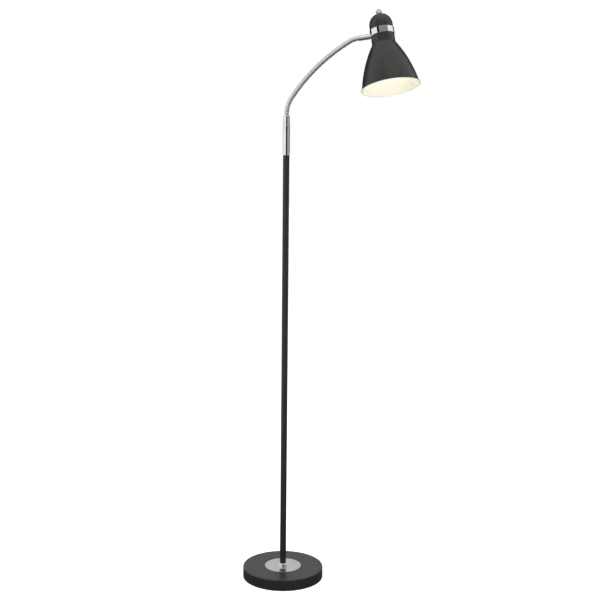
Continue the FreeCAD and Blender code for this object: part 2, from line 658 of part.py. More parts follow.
def make_shade(head):
    wall = "dims.shade_wall"
    rim = half("dims.rim_diameter")
    rim_edge = "(%s - dims.rim_chamfer)" % rim
    bell_bottom = "(%s - dims.rim_lip)" % rim
    bell_top = "(dims.shade_neck_diameter / 2 + dims.shoulder_step)"
    neck = half("dims.shade_neck_diameter")
    plate_bottom = "(%s - %s)" % (SHADE_TOP, wall)
    plate_hole = "(dims.holder_diameter / 2 + dims.holder_clearance)"
    shade = turned("shade", [
        ("(%s - %s)" % (bell_bottom, wall), "0"),
        (rim_edge, "0"),
        (rim, "dims.rim_chamfer"),
        (rim, "(dims.rim_height - dims.rim_chamfer)"),
        (rim_edge, "dims.rim_height"),
        (bell_bottom, "dims.rim_height"),
        (bell_top, "dims.bell_height"),
        (neck, NECK_START),
        (neck, SHADE_TOP),
        (plate_hole, SHADE_TOP),
        (plate_hole, plate_bottom),
        ("(%s - %s)" % (neck, wall), plate_bottom),
        ("(%s - %s)" % (neck, wall), NECK_START),
        ("(%s - %s)" % (bell_top, wall), "dims.bell_height"),
    ], {5: ("dims.bell_arc_radius", 1), 13: ("(dims.bell_arc_radius - %s)" % wall, -1)}, placement=head)
    doc.recompute()
    bore(shade, "arm_hole", "YZ_Plane", "0", ARM_HEIGHT, ROD_HOLE, "(%s + dims.overshoot)" % neck,
         reverse=INTO_ARM)

    band_bottom = "(%s - dims.band_below_top)" % SHADE_TOP
    band = ring("shade_band", "(2 * %s)" % BAND_RADIUS, "(2 * %s)" % BAND_INSIDE, band_bottom,
                "(%s + dims.band_height)" % band_bottom, placement=head)
    doc.recompute()
    bore(band, "band_arm_hole", "YZ_Plane", "0", ARM_HEIGHT, ROD_HOLE,
         "(%s + dims.overshoot)" % BAND_RADIUS, reverse=INTO_ARM)

    turned("cap", [
        (CAP_INSIDE, PLATE_SEAT),
        (CAP_RADIUS, PLATE_SEAT),
        (CAP_RADIUS, DOME_CENTRE),
        (half(ROD_HOLE), on_dome(CAP_RADIUS, half(ROD_HOLE))),
        (half(ROD_HOLE), on_dome(CAP_INSIDE, half(ROD_HOLE))),
        (CAP_INSIDE, DOME_CENTRE),
    ], {2: (CAP_RADIUS, 1), 4: (CAP_INSIDE, -1)}, placement=head)


def make_lampholder(head):
    shoulder_top = "(%s + dims.holder_shoulder_height)" % PLATE_SEAT
    holder_top = "(%s + dims.holder_neck_length)" % shoulder_top
    turned("lampholder_body", [
        (half("dims.holder_cup_diameter"), HOLDER_MOUTH),
        (half("dims.holder_diameter"), HOLDER_MOUTH),
        (half("dims.holder_diameter"), PLATE_SEAT),
        (half("dims.holder_shoulder"), PLATE_SEAT),
        (half("dims.holder_shoulder"), shoulder_top),
        (half("dims.holder_neck_diameter"), shoulder_top),
        (half("dims.holder_neck_diameter"), holder_top),
        ("0", holder_top),
        ("0", CUP_TOP),
        (half("dims.holder_cup_diameter"), CUP_TOP),
    ], placement=head)
    ring_top = "(%s - dims.shade_wall)" % SHADE_TOP
    ring("shade_ring", "dims.ring_diameter", "(dims.holder_diameter + 2 * dims.thread_clearance)",
         "(%s - dims.ring_height)" % ring_top, ring_top, placement=head)
    ring("lampholder_shell", "(2 * %s)" % SHELL_RADIUS, "(2 * %s)" % SHELL_INSIDE,
         "(%s - dims.shell_height)" % CONTACT_BOTTOM, CONTACT_BOTTOM, placement=head)
    ring("lampholder_contact", "dims.contact_diameter", "0", CONTACT_BOTTOM, CUP_TOP, placement=head)


def make_bulb(head):
    globe = half("dims.globe_diameter")
    housing_end = "(%s - dims.housing_gap)" % HOLDER_MOUTH
    globe_seat = "(%s - dims.housing_height)" % housing_end
    globe_bottom = "(%s - dims.globe_height)" % globe_seat
    seat_radius = "sqrt(%s ^ 2 - (dims.globe_height - %s) ^ 2)" % (globe, globe)
    turned("bulb_globe", [
        ("0", globe_bottom),
        (globe, "(%s + %s)" % (globe_bottom, globe)),
        (seat_radius, globe_seat),
        ("0", globe_seat),
    ], {0: (globe, 1), 1: (globe, 1)}, placement=head)
    turned("bulb_housing", [
        ("0", globe_seat),
        (seat_radius, globe_seat),
        (half("dims.housing_end_diameter"), housing_end),
        ("0", housing_end),
    ], placement=head)
    screw_radius = "(%s - dims.bulb_screw_clearance)" % SHELL_INSIDE
    tip_top = "(%s - dims.part_gap)" % CONTACT_BOTTOM
    turned("bulb_screw_cap", [
        ("0", housing_end),
        (screw_radius, housing_end),
        (screw_radius, "(%s + dims.bulb_screw_height)" % housing_end),
        (half("dims.bulb_tip_diameter"), tip_top),
        ("0", tip_top),
    ], placement=head)


def make_switch(head):
    shaft_hole = "(dims.shaft_diameter / 2 + dims.shaft_clearance)"
    seat = "(%s - dims.part_gap)" % on_dome(CAP_INSIDE, half("dims.switch_diameter"))
    switch_bottom = "(%s - dims.switch_height)" % seat
    nut_bottom = on_dome(CAP_RADIUS, half(ROD_HOLE))
    nut_top = "(%s + dims.switch_nut_height)" % nut_bottom
    bush_top = "(%s + dims.switch_bush_above_nut)" % nut_top
    turned("switch_body", [
        ("0", switch_bottom),
        (half("dims.switch_diameter"), switch_bottom),
        (half("dims.switch_diameter"), seat),
        (half("dims.rod_diameter"), seat),
        (half("dims.rod_diameter"), bush_top),
        (shaft_hole, bush_top),
        (shaft_hole, seat),
        ("0", seat),
    ], placement=head)
    ring("switch_nut", "dims.switch_nut_diameter", ROD_HOLE, nut_bottom, nut_top, placement=head)

    foot = "(%s + dims.knob_clearance)" % nut_top
    hollow_top = "(%s + dims.knob_clearance)" % bush_top
    hollow = "(%s / 2 + dims.knob_hollow_play)" % ROD_HOLE
    shoulder = "(%s + dims.knob_shoulder_height)" % foot
    nib_top = "(%s + dims.knob_height)" % foot
    ring("switch_shaft", "dims.shaft_diameter", "0", "(%s + dims.part_gap)" % seat, hollow_top, placement=head)
    turned("switch_knob", [
        (hollow, foot),
        ("(%s + dims.knob_skirt)" % hollow, foot),
        (half("dims.knob_diameter"), "(%s + dims.knob_grip_height)" % foot),
        (half("dims.knob_shoulder_diameter"), shoulder),
        (half("dims.knob_nib_diameter"), shoulder),
        (half("dims.knob_nib_diameter"), nib_top),
        ("0", nib_top),
        ("0", hollow_top),
        (hollow, hollow_top),
    ], placement=head)


# A pocket cuts against its plane's own direction unless it is reversed.
INTO_BACK = False
INTO_ARM = False

make_base()
make_pole()
make_root_fitting()
arm_place = make_neck()
head = head_placement(*make_arm_end(arm_place))
make_shade(head)
make_lampholder(head)
make_bulb(head)
make_switch(head)
doc.recompute()

# ---------------------------------------------------------------- checks and output
for item in doc.Objects:
    if "Invalid" in item.State or "Error" in item.State:
        raise RuntimeError("%s failed: %s" % (item.Label, item.State))
for piece in nodes:
    if piece.Shape.isNull() or not piece.Shape.isValid():
        raise RuntimeError(piece.Label + " has no valid shape")

os.makedirs("parts", exist_ok=True)
for piece in nodes:
    piece.Shape.exportStep("parts/%s.step" % piece.Label)

for joint, place in enumerate(flexing_places()):
    print("flexing point %d" % joint, [round(v, 3) for v in place.Base], [round(v, 5) for v in
          place.Rotation.multVec(hinge_axis(joint))])
print("head", [round(v, 3) for v in head.Base], [round(v, 5) for v in
      head.Rotation.multVec(FreeCAD.Vector(0, 0, 1))])
print(len(nodes), "pieces")
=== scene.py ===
import json
import math
import bmesh
import bpy
from mathutils import Matrix, Vector


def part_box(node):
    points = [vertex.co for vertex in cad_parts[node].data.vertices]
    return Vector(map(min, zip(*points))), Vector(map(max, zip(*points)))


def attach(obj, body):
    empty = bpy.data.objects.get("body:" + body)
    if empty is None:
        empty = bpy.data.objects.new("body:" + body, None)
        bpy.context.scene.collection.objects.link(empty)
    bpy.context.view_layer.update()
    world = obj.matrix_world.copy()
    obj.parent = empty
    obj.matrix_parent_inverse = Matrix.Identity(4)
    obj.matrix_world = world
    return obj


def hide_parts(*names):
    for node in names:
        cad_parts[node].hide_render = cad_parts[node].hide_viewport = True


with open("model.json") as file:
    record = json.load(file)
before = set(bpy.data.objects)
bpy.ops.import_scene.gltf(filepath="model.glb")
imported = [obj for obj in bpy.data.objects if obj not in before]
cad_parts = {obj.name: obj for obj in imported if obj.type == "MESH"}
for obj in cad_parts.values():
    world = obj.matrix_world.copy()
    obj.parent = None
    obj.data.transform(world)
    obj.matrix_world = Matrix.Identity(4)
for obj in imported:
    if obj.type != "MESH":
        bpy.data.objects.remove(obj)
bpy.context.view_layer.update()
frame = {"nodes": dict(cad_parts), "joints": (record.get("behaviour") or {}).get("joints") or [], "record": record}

# Gooseneck reading floor lamp: the looks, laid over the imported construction.
# Lengths in the pieces' dictionaries are millimetres, and everything built from them is in metres.

mm = 0.001
collection = bpy.context.scene.collection
joints = {joint["name"]: joint for joint in frame["joints"]}
bodyOf = {node: name for name, nodes in frame["record"]["behaviour"]["bodies"].items() for node in nodes}
slotOf = {part["node"]: part["material_slot"] for part in frame["record"]["subparts"]}
print("frame loaded:", len(frame["nodes"]), "nodes")


# a closed profile of (radius, height) pairs spun about Z
def turnedShape(profile, steps=96):
    bm = bmesh.new()
    corners = [bm.verts.new((radius * mm, 0, height * mm)) for radius, height in profile]
    sides = [bm.edges.new(pair) for pair in zip(corners, corners[1:])]
    sides.append(bm.edges.new((corners[-1], corners[0])))
    bmesh.ops.spin(bm, geom=corners + sides, cent=(0, 0, 0), axis=(0, 0, 1), angle=2 * math.pi, steps=steps,
                   use_merge=True, use_duplicate=False)
    bmesh.ops.remove_doubles(bm, verts=bm.verts, dist=1e-7)
    bmesh.ops.recalc_face_normals(bm, faces=bm.faces)
    return bm


# bevels the ring of edges that a profile's corner has become
def roundRing(bm, radius, height, width, segments=4):
    near = 0.02 * mm
    ring = [edge for edge in bm.edges if all(
        abs(math.hypot(v.co.x, v.co.y) - radius * mm) < near and abs(v.co.z - height * mm) < near
        for v in edge.verts)]
    bmesh.ops.bevel(bm, geom=ring, offset=width * mm, offset_type="OFFSET", segments=segments, profile=0.5,
                    affect="EDGES", material=-1)


# points between start and end, both left out, on an arc whose centre is left of the line from start to end
def arcPoints(start, end, radius, count):
    a, b = Vector(start), Vector(end)
    chord = b - a
    left = Vector((-chord.y, chord.x)).normalized()
    centre = (a + b) / 2 + left * math.sqrt(radius ** 2 - (chord.length / 2) ** 2)
    first = math.atan2(a.y - centre.y, a.x - centre.x)
    turn = (math.atan2(b.y - centre.y, b.x - centre.x) - first + math.pi) % (2 * math.pi) - math.pi
    return [(centre.x + radius * math.cos(first + turn * i / count),
             centre.y + radius * math.sin(first + turn * i / count)) for i in range(1, count)]


def meshFrom(bm, name):
    mesh = bpy.data.meshes.new(name)
    bm.to_mesh(mesh)
    bm.free()
    return mesh


def addObject(name, data):
    item = bpy.data.objects.new(name, data)
    collection.objects.link(item)
    return item


# makes the mesh an object that stands for a node of the construction and rides with it
def finishPiece(name, bm, materials, node, place=None, sharpAngle=35):
    if place is not None:
        bmesh.ops.transform(bm, matrix=place, verts=bm.verts)
    mesh = meshFrom(bm, name)
    mesh.shade_smooth()
    mesh.set_sharp_from_angle(angle=math.radians(sharpAngle))
    for material in materials:
        mesh.materials.append(material)
    piece = addObject(name, mesh)
    weighted = piece.modifiers.new("normals", "WEIGHTED_NORMAL")  # long faces keep their own shading beside bevels
    weighted.keep_sharp = True
    weighted.weight = 80
    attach(piece, bodyOf[node])
    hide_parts(node)
    return piece


def newMaterial(name, colour, roughness, metallic=0.0):
    material = bpy.data.materials.new(name)
    material.use_nodes = True
    shader = material.node_tree.nodes["Principled BSDF"]
    shader.inputs["Base Color"].default_value = (*colour, 1)
    shader.inputs["Roughness"].default_value = roughness
    shader.inputs["Metallic"].default_value = metallic
    return material


# adds a shader node; settings are its own fields and inputs its sockets by name
def addNode(material, kind, settings=None, **inputs):
    node = material.node_tree.nodes.new(kind)
    for field, value in (settings or {}).items():
        setattr(node, field, value)
    for socket, value in inputs.items():
        target = node.inputs[socket.replace("_", " ")]
        if isinstance(value, bpy.types.NodeSocket):
            material.node_tree.links.new(value, target)
        else:
            target.default_value = value
    return node


def feedShader(material, socket, value):
    shader = material.node_tree.nodes["Principled BSDF"]
    material.node_tree.links.new(value, shader.inputs[socket])


def objectSpace(material):
    return addNode(material, "ShaderNodeTexCoord").outputs["Object"]


# smudges: patches of slightly duller surface
def varyRoughness(material, vector, scale, low, high):
    noise = addNode(material, "ShaderNodeTexNoise", Vector=vector, Scale=scale, Detail=4.0)
    spread = addNode(material, "ShaderNodeMapRange", Value=noise.outputs["Fac"], From_Min=0.3, From_Max=0.7,
                     To_Min=low, To_Max=high)
    feedShader(material, "Roughness", spread.outputs["Result"])


# two close shades mixed by broad noise
def varyColour(material, vector, scale, dark, light):
    noise = addNode(material, "ShaderNodeTexNoise", Vector=vector, Scale=scale, Detail=3.0)
    ramp = addNode(material, "ShaderNodeValToRGB", Fac=noise.outputs["Fac"])
    for stop, position, colour in zip(ramp.color_ramp.elements, (0.35, 0.65), (dark, light)):
        stop.position = position
        stop.color = (*colour, 1)
    feedShader(material, "Base Color", ramp.outputs["Color"])


def addBump(material, height, strength, distance):
    bump = addNode(material, "ShaderNodeBump", Height=height, Strength=strength, Distance=distance)
    feedShader(material, "Normal", bump.outputs["Normal"])


# a bump of even noise
def addGrain(material, vector, scale, detail, strength, distance):
    noise = addNode(material, "ShaderNodeTexNoise", Vector=vector, Scale=scale, Detail=detail)
    addBump(material, noise.outputs["Fac"], strength, distance)


def makeBlackPaint():
    paint = newMaterial("blackPaint", (0.0125, 0.0115, 0.0108), roughness=0.36)
    space = objectSpace(paint)
    varyColour(paint, space, scale=25, dark=(0.0112, 0.0103, 0.0097), light=(0.0140, 0.0128, 0.0120))
    varyRoughness(paint, space, scale=60, low=0.33, high=0.40)
    addGrain(paint, space, scale=900, detail=2.0, strength=0.12, distance=0.0004)
    return paint


def makeChrome(name, roughness):
    chrome = newMaterial(name, (0.80, 0.79, 0.79), roughness, metallic=1.0)
    space = objectSpace(chrome)
    varyColour(chrome, space, scale=40, dark=(0.76, 0.75, 0.75), light=(0.83, 0.82, 0.82))
    varyRoughness(chrome, space, scale=120, low=roughness * 0.7, high=roughness * 1.4)
    addGrain(chrome, space, scale=700, detail=3.0, strength=0.03, distance=0.0002)
    return chrome


# steel with fine circles left by turning
def makeBrushedDisc():
    steel = newMaterial("brushedDisc", (0.72, 0.70, 0.69), roughness=0.2, metallic=1.0)
    space = objectSpace(steel)
    split = addNode(steel, "ShaderNodeSeparateXYZ", Vector=space)
    flat = addNode(steel, "ShaderNodeCombineXYZ", X=split.outputs["X"], Y=split.outputs["Y"])
    radius = addNode(steel, "ShaderNodeVectorMath", {"operation": "LENGTH"}, Vector=flat.outputs["Vector"])
    circles = addNode(steel, "ShaderNodeTexNoise", {"noise_dimensions": "1D"}, W=radius.outputs["Value"],
                      Scale=2500, Detail=4.0)
    spread = addNode(steel, "ShaderNodeMapRange", Value=circles.outputs["Fac"], To_Min=0.14, To_Max=0.26)
    feedShader(steel, "Roughness", spread.outputs["Result"])
    varyColour(steel, space, scale=30, dark=(0.69, 0.67, 0.66), light=(0.75, 0.73, 0.72))
    addBump(steel, circles.outputs["Fac"], strength=0.15, distance=0.0001)
    return steel


# cream enamel inside the shade
def makeEnamel():
    enamel = newMaterial("creamEnamel", (0.88, 0.86, 0.78), roughness=0.45)
    space = objectSpace(enamel)
    varyColour(enamel, space, scale=12, dark=(0.86, 0.84, 0.75), light=(0.90, 0.88, 0.80))
    varyRoughness(enamel, space, scale=80, low=0.4, high=0.5)
    addGrain(enamel, space, scale=600, detail=2.0, strength=0.08, distance=0.0003)
    return enamel


# the bulb's globe, lit
def makeOpal():
    opal = newMaterial("opalGlobe", (0.93, 0.91, 0.84), roughness=0.3)
    space = objectSpace(opal)
    varyColour(opal, space, scale=20, dark=(0.91, 0.89, 0.81), light=(0.95, 0.93, 0.87))
    varyRoughness(opal, space, scale=90, low=0.25, high=0.35)
    shader = opal.node_tree.nodes["Principled BSDF"]
    shader.inputs["Emission Color"].default_value = (1.0, 0.955, 0.84, 1)
    shader.inputs["Emission Strength"].default_value = 3.0
    return opal


# a finish for the pieces inside: two shades, smudges and a fine grain
def makePlain(name, dark, light, roughness, metallic=0.0, grain=300, depth=0.1):
    material = newMaterial(name, light, roughness, metallic)
    space = objectSpace(material)
    varyColour(material, space, scale=40, dark=dark, light=light)
    varyRoughness(material, space, scale=100, low=roughness * 0.85, high=min(1.0, roughness * 1.15))
    addGrain(material, space, scale=grain, detail=5.0, strength=depth, distance=0.0005)
    return material


blackPaint = makeBlackPaint()
chrome = makeChrome("chrome", roughness=0.05)
neckChrome = makeChrome("neckChrome", roughness=0.12)
brushedDisc = makeBrushedDisc()
creamEnamel = makeEnamel()
opalGlobe = makeOpal()
castIron = makePlain("castIron", (0.07, 0.07, 0.07), (0.12, 0.12, 0.12), roughness=0.7, grain=500, depth=0.5)
foamPad = makePlain("foamPad", (0.02, 0.02, 0.02), (0.035, 0.035, 0.035), roughness=0.9, grain=900, depth=0.8)
platedSteel = makePlain("platedSteel", (0.55, 0.55, 0.53), (0.65, 0.65, 0.63), roughness=0.35, metallic=1.0)
blackPlastic = makePlain("blackPlastic", (0.02, 0.02, 0.02), (0.035, 0.035, 0.035), roughness=0.45, grain=700)
shellBrass = makePlain("shellBrass", (0.66, 0.50, 0.22), (0.76, 0.60, 0.30), roughness=0.3, metallic=1.0)
bulbCap = makePlain("bulbCap", (0.62, 0.61, 0.58), (0.72, 0.71, 0.68), roughness=0.4, metallic=1.0)
print("materials made")

slotMaterials = {
    "black_paint": blackPaint, "brushed_disc": brushedDisc, "chrome": chrome,
    "neck_chrome": neckChrome, "cast_iron": castIron, "foam": foamPad, "plated_steel": platedSteel,
    "black_plastic": blackPlastic, "brass": shellBrass, "opal": opalGlobe, "bulb_cap": bulbCap,
}
for node, piece in frame["nodes"].items():
    piece.data.materials.clear()
    piece.data.materials.append(slotMaterials[slotOf[node]])


baseSizes = {"radius": 115.0, "bottom": 1.0, "top": 32.0, "wall": 1.2, "topRound": 2.5, "footRound": 0.4,
             "hole": 5.1, "inletHeight": 11.0, "inletRadius": 5.0, "inletDepth": 20.0, "discRadius": 52.0,
             "discThickness": 0.8, "discRound": 0.4}


# takes the cutter's shape out of a piece for good; the piece's normals are weighted after it
def cutHole(piece, cutter):
    holder = addObject("cutter", cutter)
    modifier = piece.modifiers.new("hole", "BOOLEAN")
    modifier.object = holder
    modifier.solver = "EXACT"
    piece.modifiers["normals"].show_viewport = False
    cut = bpy.data.meshes.new_from_object(piece.evaluated_get(bpy.context.evaluated_depsgraph_get()))
    piece.modifiers["normals"].show_viewport = True
    piece.modifiers.remove(modifier)
    piece.data = cut
    bpy.data.objects.remove(holder)


def makeBase():
    s = baseSizes
    inside = s["radius"] - s["wall"]
    ceiling = s["top"] - s["wall"]
    cover = turnedShape([(s["hole"], ceiling), (inside, ceiling), (inside, s["bottom"]), (s["radius"], s["bottom"]),
                         (s["radius"], s["top"]), (s["hole"], s["top"])], steps=160)
    roundRing(cover, s["radius"], s["top"], s["topRound"], segments=8)
    roundRing(cover, s["radius"], s["bottom"], s["footRound"], segments=2)
    piece = finishPiece("baseCover", cover, [blackPaint], "base_cover")

    cutter = bmesh.new()
    place = Matrix.Translation((0, s["radius"] * mm, s["inletHeight"] * mm)) @ Matrix.Rotation(math.pi / 2, 4, "X")
    bmesh.ops.create_cone(cutter, cap_ends=True, segments=48, radius1=s["inletRadius"] * mm,
                          radius2=s["inletRadius"] * mm, depth=s["inletDepth"] * mm, matrix=place)
    cutHole(piece, meshFrom(cutter, "inletCutter"))

    top = s["top"] + s["discThickness"]
    disc = turnedShape([(s["hole"], s["top"]), (s["discRadius"], s["top"]), (s["discRadius"], top),
                        (s["hole"], top)], steps=128)
    roundRing(disc, s["discRadius"], top, s["discRound"], segments=3)
    finishPiece("baseDisc", disc, [brushedDisc], "base_disc")


makeBase()
print("base made")


poleSizes = {"foot": 32.8, "seam": 700.0, "top": 1211.0, "radius": 9.0, "wall": 1.2, "tubeRound": 0.5,
             "collarRadius": 13.0, "collarHeight": 8.0, "collarHole": 9.15, "collarTopRound": 2.4,
             "collarFootRound": 0.4, "ferruleRadius": 9.7, "ferruleLength": 107.0, "ferruleTopRadius": 8.8,
             "ferruleTopLength": 23.0, "ferruleWall": 1.0, "ferruleTopRound": 1.4, "ferruleStepRound": 0.8,
             "ferruleFootRound": 0.3, "neckHole": 6.65}


def makeTube(name, node, bottom, top):
    s = poleSizes
    tube = turnedShape([(s["radius"] - s["wall"], bottom), (s["radius"], bottom), (s["radius"], top),
                        (s["radius"] - s["wall"], top)], steps=72)
    roundRing(tube, s["radius"], bottom, s["tubeRound"], segments=3)
    roundRing(tube, s["radius"], top, s["tubeRound"], segments=3)
    finishPiece(name, tube, [blackPaint], node)


def makePole():
    s = poleSizes
    makeTube("poleLowerTube", "pole_lower_tube", s["foot"], s["seam"])
    makeTube("poleUpperTube", "pole_upper_tube", s["seam"], s["top"])

    collarTop = s["foot"] + s["collarHeight"]
    collar = turnedShape([(s["collarHole"], s["foot"]), (s["collarRadius"], s["foot"]),
                          (s["collarRadius"], collarTop), (s["collarHole"], collarTop)])
    roundRing(collar, s["collarRadius"], collarTop, s["collarTopRound"], segments=8)
    roundRing(collar, s["collarRadius"], s["foot"], s["collarFootRound"], segments=2)
    finishPiece("footCollar", collar, [chrome], "foot_collar")

    top = s["top"] + s["ferruleLength"]
    inside = s["ferruleTopRadius"] - s["ferruleWall"]
    step = top - s["ferruleTopLength"]
    ferrule = turnedShape([(inside, s["top"]), (s["ferruleRadius"], s["top"]), (s["ferruleRadius"], step),
                           (s["ferruleTopRadius"], step), (s["ferruleTopRadius"], top),
                           (s["neckHole"], top), (s["neckHole"], top - s["ferruleWall"]),
                           (inside, top - s["ferruleWall"])])
    roundRing(ferrule, s["ferruleRadius"], step, s["ferruleStepRound"])
    roundRing(ferrule, s["ferruleTopRadius"], top, s["ferruleTopRound"], segments=6)
    roundRing(ferrule, s["ferruleRadius"], s["top"], s["ferruleFootRound"], segments=2)
    finishPiece("poleFerrule", ferrule, [chrome], "pole_ferrule")


makePole()
print("pole made")


neckSizes = {"crest": 6.5, "valley": 5.85, "endGap": 0.85, "ribs": 4, "ribShape": (0.08, 0.27, 0.5, 0.73, 0.92),
             "ballRadius": 5.2, "ballStart": 0.12, "ballSteps": 9, "socketRadius": 5.3, "socketDepth": 4.6,
             "segments": 48}


# every flexing point with its tangent's lean from +Z towards +X, and each link's turn and length
def flexingPoints():
    chain = [joint for joint in frame["joints"] if not joint.get("continuous")]
    points = [Vector(joint["pos_m"]) for joint in chain]
    leans, turns, lengths = [0.0], [], []
    for low, high in zip(points, points[1:]):
        chord = high - low
        turns.append(2 * (math.atan2(chord.x, chord.z) - leans[-1]))
        leans.append(leans[-1] + turns[-1])
        lengths.append(chord.length * (turns[-1] / 2) / math.sin(turns[-1] / 2))
    return points, leans, turns, lengths


# place on an arc that starts at the origin along +Z and bends towards +X
def alongArc(turn, length, travelled):
    radius = length / turn
    angle = turn * travelled / length
    shift = Matrix.Translation((radius * (1 - math.cos(angle)), 0, radius * math.sin(angle)))
    return shift @ Matrix.Rotation(angle, 4, "Y")


# extrudes a circle through (travelled, radius) rings; place gives the matrix for each distance
def sleeveAlong(rings, place, segments):
    bm = bmesh.new()
    travelled, radius = rings[0]
    here = place(travelled * mm)
    bmesh.ops.create_circle(bm, cap_ends=True, segments=segments, radius=radius * mm, matrix=here)
    edges = list(bm.edges)
    for nextTravelled, nextRadius in rings[1:]:
        made = bmesh.ops.extrude_edge_only(bm, edges=edges)["geom"]
        verts = [item for item in made if isinstance(item, bmesh.types.BMVert)]
        fresh = set(verts)
        edges = [item for item in made if isinstance(item, bmesh.types.BMEdge) and set(item.verts) <= fresh]
        there = place(nextTravelled * mm)
        grow = Matrix.Diagonal((nextRadius / radius, nextRadius / radius, 1, 1))
        bmesh.ops.transform(bm, matrix=there @ grow @ here.inverted(), verts=verts)
        here, radius = there, nextRadius
    bmesh.ops.contextual_create(bm, geom=edges)
    bmesh.ops.recalc_face_normals(bm, faces=bm.faces)
    return bm


# rings of the ball at a piece's lower end, from under the flexing point up to the piece
def ballRings():
    s = neckSizes
    bottom = math.pi - s["ballStart"]
    top = math.acos(s["endGap"] / s["ballRadius"])
    angles = [bottom - (bottom - top) * i / s["ballSteps"] for i in range(s["ballSteps"] + 1)]
    return [(s["ballRadius"] * math.cos(a), s["ballRadius"] * math.sin(a)) for a in angles]


# rounded ribs between two distances along the neck
def ribRings(start, end):
    s = neckSizes
    pitch = (end - start) / s["ribs"]
    rings = [(start, s["valley"])]
    for rib in range(s["ribs"]):
        for share in s["ribShape"]:
            lift = math.sqrt(1 - (2 * share - 1) ** 2)
            rings.append((start + (rib + share) * pitch, s["valley"] + (s["crest"] - s["valley"]) * lift))
        rings.append((start + (rib + 1) * pitch, s["valley"]))
    return rings


# the open mouth that takes the next piece's ball, and its closed floor
def socketRings(end):
    s = neckSizes
    return [(end, s["socketRadius"]), (end - s["socketDepth"], s["socketRadius"])]


def makeNeck():
    s = neckSizes
    points, leans, turns, lengths = flexingPoints()
    for link, (turn, length) in enumerate(zip(turns, lengths)):
        root = Matrix.Translation(points[link]) @ Matrix.Rotation(leans[link], 4, "Y")
        end = length / mm - s["endGap"]
        rings = ballRings() + ribRings(s["endGap"], end) + socketRings(end)
        shape = sleeveAlong(rings, lambda travelled: root @ alongArc(turn, length, travelled), s["segments"])
        finishPiece("neckLink%02d" % (link + 1), shape, [neckChrome], "neck_link_%02d" % (link + 1), sharpAngle=50)


fittingSizes = {"bore": 3.25, "spigotRadius": 5.0, "flangeRadius": 7.6, "flangeBottom": 1211.0, "flangeTop": 1217.0,
                "mouthRound": 0.5}


# the turned fitting inside the ferrule, with the first socket just above it
def makeRootFitting():
    s, neck = fittingSizes, neckSizes
    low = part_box("neck_root_fitting")[0].z / mm
    top = flexingPoints()[0][0].z / mm - neck["endGap"]
    floor = top - neck["socketDepth"]
    fitting = turnedShape([(s["bore"], low), (s["spigotRadius"], low), (s["spigotRadius"], s["flangeBottom"]),
                           (s["flangeRadius"], s["flangeBottom"]), (s["flangeRadius"], s["flangeTop"]),
                           (neck["crest"], s["flangeTop"]), (neck["crest"], top), (neck["socketRadius"], top),
                           (neck["socketRadius"], floor), (s["bore"], floor)], steps=64)
    roundRing(fitting, neck["crest"], top, s["mouthRound"], segments=3)
    finishPiece("neckRootFitting", fitting, [neckChrome], "neck_root_fitting")


makeNeck()
makeRootFitting()
print("gooseneck made")


armSizes = {"radius": 7.25, "start": 0.85, "round": 0.9, "roundTurns": (22.5, 45, 67.5, 90), "lastRings": (6.0, 0.5),
            "fittedLength": 1.0, "gapToBand": 0.1, "bandRadius": 33.0, "segments": 72}


# the head's own place: its Z runs up its axis from the rim's plane, and its X on from the arm
def headFrame():
    switch = joints["switch_turn"]
    origin = Vector(switch["pos_m"])
    up = Vector(switch["axis"]).normalized()
    tip = flexingPoints()[0][-1]
    along = (origin - tip) - up * (origin - tip).dot(up)
    inward = along.normalized()
    place = Matrix((inward, up.cross(inward), up)).transposed().to_4x4()
    place.translation = origin
    return place, tip, along.length


def makeArmSleeve(place, tip, reach):
    s = armSizes
    inward, side, up = (place.col[axis].to_3d() for axis in range(3))
    arm = Matrix((-up, side, inward)).transposed().to_4x4()
    arm.translation = tip
    end = reach / mm - s["bandRadius"]
    rings = ballRings() + [(s["start"], s["radius"] - s["round"])]
    rings += [(s["start"] + s["round"] * (1 - math.cos(a)), s["radius"] - s["round"] * (1 - math.sin(a)))
              for a in (math.radians(turn) for turn in s["roundTurns"])]
    rings += [(end - before, s["radius"]) for before in s["lastRings"]]
    shape = sleeveAlong(rings, lambda travelled: arm @ Matrix.Translation((0, 0, travelled)), s["segments"])
    # the end ring follows the band
    toHead = place.inverted()
    limit = (s["bandRadius"] + s["gapToBand"]) * mm
    for vert in shape.verts:
        local = toHead @ vert.co
        if local.x > -(s["bandRadius"] + s["fittedLength"]) * mm:
            local.x = -math.sqrt(limit ** 2 - local.y ** 2)
            vert.co = place @ local
    finishPiece("armSleeve", shape, [chrome], "arm_sleeve")


headPlace, armTip, armReach = headFrame()
makeArmSleeve(headPlace, armTip, armReach)
print("arm sleeve made")


shadeSizes = {"rimRadius": 81.0, "rimHeight": 2.6, "rimRound": 1.1, "bellRadius": 78.0, "bellArc": 332.0,
              "bellHeight": 121.0, "bellTop": 33.1, "bellSteps": 28, "neckRadius": 32.0, "neckStart": 123.5,
              "top": 158.0, "topRound": 0.8, "wall": 1.0, "plateHole": 20.3}
bandSizes = {"bottom": 146.0, "top": 163.0, "inside": 32.1, "outside": 33.0, "round": 0.4}


